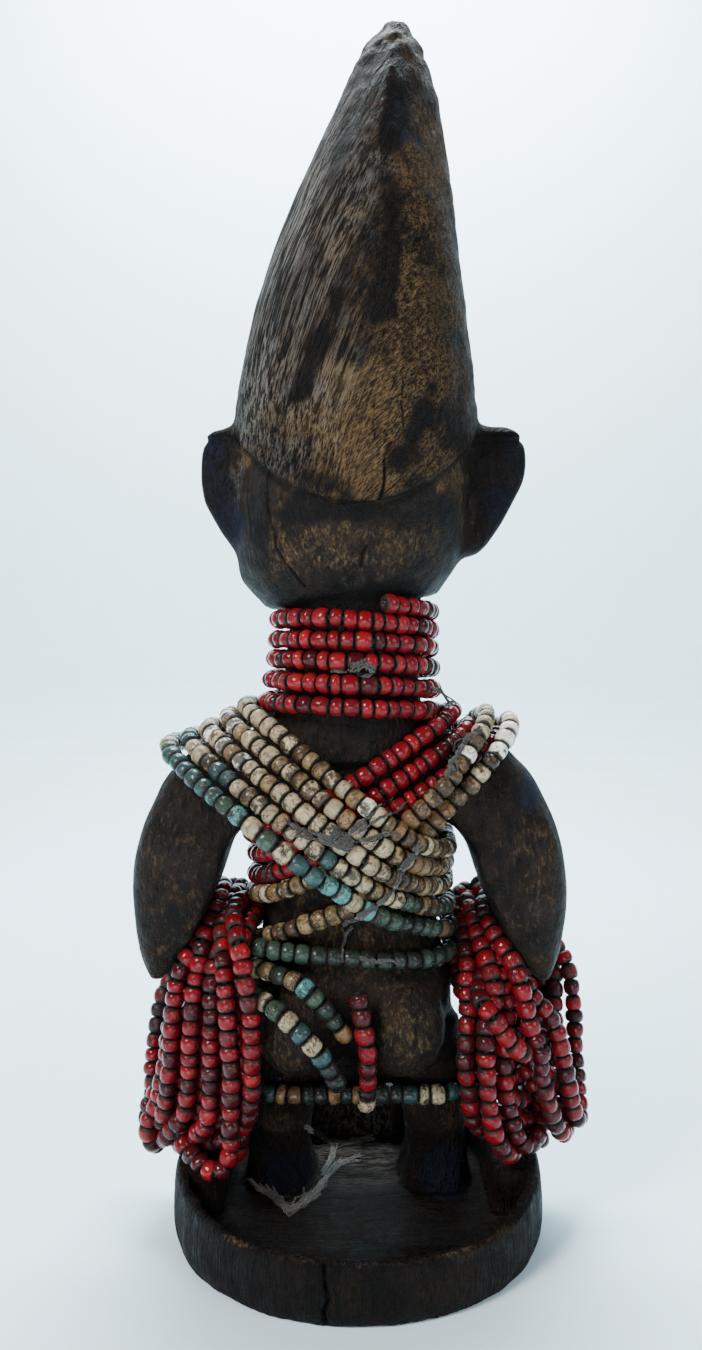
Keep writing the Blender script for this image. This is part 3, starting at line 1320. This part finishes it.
def add_bead(mesh, bead, tree, rng):
    side = np.cross(bead.axis, (0.31, 0.42, 0.85))
    side /= np.linalg.norm(side)
    up = np.cross(bead.axis, side)
    _, normal, _, _ = tree.find_nearest(Vector(bead.centre))
    angles = np.arange(BEAD_SIDES) * 2 * math.pi / BEAD_SIDES
    oval, turn = rng.uniform(0, 0.045), rng.uniform(0, math.pi)
    swell = 1 + oval * np.cos(2 * (angles - turn)) + 0.02 * np.cos(3 * angles + turn)
    around = np.outer(np.cos(angles), side) + np.outer(np.sin(angles), up)
    outline = bead_rings(rng)
    own_grime = rng.uniform(0.0, 0.26)
    hidden = 0.45 * smoothstep(0.35, -0.7, around @ np.array(normal))
    rings, grimes = [], []
    for along, out in outline:
        middle = bead.centre + bead.axis * along * bead.half_length
        rings.append(middle + around * (bead.radius * out * swell)[:, None])
        end_grime = 0.80 * smoothstep(0.54, 1.0, abs(along)) + 0.5 * smoothstep(0.78, 0.4, out)
        grimes.extend(own_grime + end_grime + hidden)
    mesh.add_rings(rings, 0, bead.colour, grimes, bead.stain)


def add_bands(faces, start, rings, sides):
    """Four-sided faces between rings of points that are numbered from start."""
    for ring in range(rings - 1):
        for k in range(sides):
            following = (k + 1) % sides
            a = start + ring * sides
            faces.append((a + k, a + following, a + sides + following, a + sides + k))


def add_thread(mesh, line):
    steps = max(8, int(line.length / THREAD_STEP))
    marks = np.linspace(0, line.length, steps)
    rings = tube_rings(line.at(marks * 0.9999), THREAD_RADIUS, THREAD_SIDES)
    mesh.add_rings(rings, 1, THREAD_COLOUR, [1.0] * (len(rings) * THREAD_SIDES), 0.0)


def tube_rings(points, radius, sides):
    """Rings round a line of points. The radius may be one number or one for each point."""
    radii = np.broadcast_to(radius, len(points))
    tangents = np.gradient(points, axis=0)
    tangents /= np.maximum(np.linalg.norm(tangents, axis=1, keepdims=True), 1e-9)
    side = np.cross(tangents[0], (0.31, 0.42, 0.85))
    rings = []
    for point, tangent, r in zip(points, tangents, radii):
        side = side - tangent * (side @ tangent)
        side /= np.linalg.norm(side)
        up = np.cross(tangent, side)
        angles = np.arange(sides) * 2 * math.pi / sides
        rings.append(point + r * (np.outer(np.cos(angles), side) + np.outer(np.sin(angles), up)))
    return rings


STRAND_PULL = 0.02
LOOP_PULL = 0.03
LOOP_WEIGHT = 0.05


def numbered(name, *numbers):
    return [f"{name}_{k}" for k in numbers]


# The strings of one run: nodes, look, bead, how tight they are pulled and the slot.
SINGLE_STRINGS = [
    (["neck_bead_string"], red_look, NECK_BEAD, 0.0, "red_glass"),
    (numbered("right_shoulder_red_strand", 1, 2, 3), red_look, SASH_BEAD, STRAND_PULL, "red_glass"),
    (numbered("right_shoulder_white_strand", 1, 2), white_look, SASH_BEAD, STRAND_PULL, "cream_glass"),
    (numbered("left_shoulder_strand", 1, 2, 3), cream_look, SASH_BEAD, STRAND_PULL, "cream_glass"),
    (numbered("left_shoulder_strand", 4), mixed_look, SASH_BEAD, STRAND_PULL, "turquoise_glass"),
    (numbered("left_shoulder_strand", 5), turquoise_look, SASH_BEAD, STRAND_PULL, "turquoise_glass"),
    (["waist_green_belt"], belt_look, WAIST_BEAD, STRAND_PULL, "green_glass"),
    (["thigh_strand"], thigh_look, WAIST_BEAD, STRAND_PULL, "green_glass"),
    (numbered("hip_green_strand", 1, 2), hip_look, WAIST_BEAD, STRAND_PULL, "green_glass"),
    (["red_tail"], tail_look, WAIST_BEAD, STRAND_PULL, "red_glass"),
]
WRIST_STRINGS = [("left_wrist_bead_loops", LEFT_WRIST_LOOPS), ("right_wrist_bead_loops", RIGHT_WRIST_LOOPS)]


def gather_strings():
    """Every run of beads, and the slot of each node."""
    strings, slots = [], {}
    for names, look, bead, pull, slot in SINGLE_STRINGS:
        for node in names:
            line = Line(*tube_line(nodes[node]), rounded=False)
            strings.append(BeadString(node, line, bead, look, pull))
            slots[node] = slot
    for node, loops in WRIST_STRINGS:
        inner = [inner_loop(one, other) for one, other in zip(loops, loops[1:])]
        for loop, hold in [(loop, LOOP_HOLD) for loop in loops] + [(loop, 0.0) for loop in inner]:
            line = Line(np.array(loop, dtype=float), True)
            strings.append(BeadString(node, line, WRIST_BEAD, wrist_look, LOOP_PULL, LOOP_WEIGHT, hold))
        slots[node] = "red_glass"
    return strings, slots


# Roughness of clean glass, colour of the stains, how much the worn spots add to the roughness, and shine.
BEAD_MATERIALS = {
    "red_glass": bead_material("old_red_glass", 0.11, (0.016, 0.0030, 0.0034), 0.06, 0.20),
    "cream_glass": bead_material("old_cream_glass", 0.22, (0.030, 0.016, 0.008), 0.16, 0.24),
    "turquoise_glass": bead_material("old_turquoise_glass", 0.20, (0.018, 0.016, 0.011), 0.16, 0.28),
    "green_glass": bead_material("old_green_glass", 0.20, (0.010, 0.009, 0.007), 0.16, 0.26),
}

# Threads that tie the strings, as pixels of the photograph: path, thickness and number of strands.
TIES = [
    ([(288, 822), (298, 830), (312, 832), (330, 838)], 0.55, 10),
    ([(296, 834), (310, 838), (330, 842), (350, 840)], 0.50, 8),
    ([(334, 830), (342, 834), (350, 840), (347, 848), (338, 846), (334, 838), (342, 832)], 0.95, 14),
    ([(352, 842), (372, 838), (385, 832), (398, 834)], 0.45, 6),
    ([(345, 838), (362, 824), (378, 808), (392, 800)], 0.45, 7),
    ([(360, 832), (380, 818), (396, 812), (404, 804)], 0.35, 4),
    ([(400, 872), (396, 885), (386, 898), (376, 908), (362, 916), (342, 924)], 0.50, 8),
    ([(417, 846), (412, 856), (402, 868), (400, 878)], 0.60, 8),
    ([(352, 925), (345, 934), (342, 946), (340, 960)], 0.35, 3),
    ([(480, 728), (468, 740), (460, 752), (452, 764), (448, 778)], 0.60, 10),
    ([(466, 736), (458, 748), (450, 760), (455, 770)], 0.85, 8),
    ([(354, 668), (362, 664), (371, 668), (368, 676), (358, 674)], 0.80, 9),
    ([(352, 668), (340, 672), (334, 670)], 0.35, 3),
    ([(432, 658), (438, 660), (446, 664)], 0.35, 4),
    ([(436, 688), (444, 694), (452, 702), (446, 706)], 0.95, 9),
    ([(362, 958), (372, 962), (388, 960), (400, 962)], 0.40, 5),
]
# The grey deposit of old fibre in the recess.
DEPOSIT = [
    ([(267, 1190), (276, 1199), (290, 1208), (303, 1203), (314, 1194)], 1.2, 20),
    ([(303, 1203), (314, 1194), (324, 1182), (334, 1170), (346, 1162), (359, 1158)], 1.0, 18),
    ([(306, 1128), (320, 1136), (334, 1144), (352, 1142), (373, 1137)], 0.8, 12),
    ([(334, 1146), (332, 1158), (322, 1174)], 0.8, 10),
    ([(250, 1180), (262, 1190), (270, 1194)], 0.7, 6),
]


STRAND_RADIUS = 0.17  # of one strand; thickness is the spread of a whole bundle
THINNEST_STRAND = 0.08
STRAND_SIDES = 6
STRAY_PIXELS = 2.6  # for a thickness of 1


def lay_fibres(name, paths, tree, material, rng, lift):
    """Strands of thread or fibre that lie on a surface along pixel paths."""
    places, faces = [], []
    for path, thickness, strands in paths:
        for _ in range(strands):
            spread = thickness * STRAY_PIXELS
            stray = [(u + rng.normal(0, spread), v + rng.normal(0, spread)) for u, v in path]
            found = seen_surface(tree, stray, 0.6)
            if len(found) < 3:
                continue
            line = np.array([place + normal * lift * rng.uniform(0.6, 1.6) for place, normal in found])
            line = line + np.stack([noise(line, 1.6, int(rng.integers(1000)))] * 3, axis=1) * 0.18
            radius = STRAND_RADIUS * rng.uniform(0.7, 1.4)
            radii = radius * (1 + 0.4 * noise(line, 1.2, int(rng.integers(1000))))
            start = len(places)
            rings = tube_rings(line, np.maximum(radii, THINNEST_STRAND), STRAND_SIDES)
            for ring in rings:
                places.extend(ring)
            add_bands(faces, start, len(rings), STRAND_SIDES)
    made = new_object(name, np.array(places) * MM, faces, [material], True)
    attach(made, "root")
    return made


def tree_of(objects):
    """The surface of several objects together, in millimetres."""
    places, faces = [], []
    for item in objects:
        start = len(places)
        places.extend(tuple(v.co / MM) for v in item.data.vertices)
        faces.extend(tuple(start + k for k in p.vertices) for p in item.data.polygons)
    return BVHTree.FromPolygons(places, faces)


stage_and_light()
rng = np.random.default_rng(SEED)
wood, wood_tree = make_wood()
strings, slots = gather_strings()
settle(strings, wood_tree)
dark_thread = fibre_material("dark_thread", (0.010, 0.008, 0.006), (0.030, 0.022, 0.016))
old_thread = fibre_material("old_thread", (0.011, 0.009, 0.007), (0.042, 0.034, 0.025))
grey_fibre = fibre_material("grey_fibre", (0.016, 0.013, 0.010), (0.055, 0.047, 0.037))
bead_pieces = []
for node, slot_name in slots.items():
    own = [s for s in strings if s.node == node]
    bead_pieces.append(make_beads(own, node, slot_name, wood_tree, rng, dark_thread))
lay_fibres("thread_ties", TIES, tree_of([wood, *bead_pieces]), old_thread, rng, 0.35)
lay_fibres("fibre_deposit", DEPOSIT, wood_tree, grey_fibre, rng, 0.15)

boxes = {"cad": cad_box, "visual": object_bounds()}
{name: [list(corner) for corner in box] for name, box in boxes.items()}
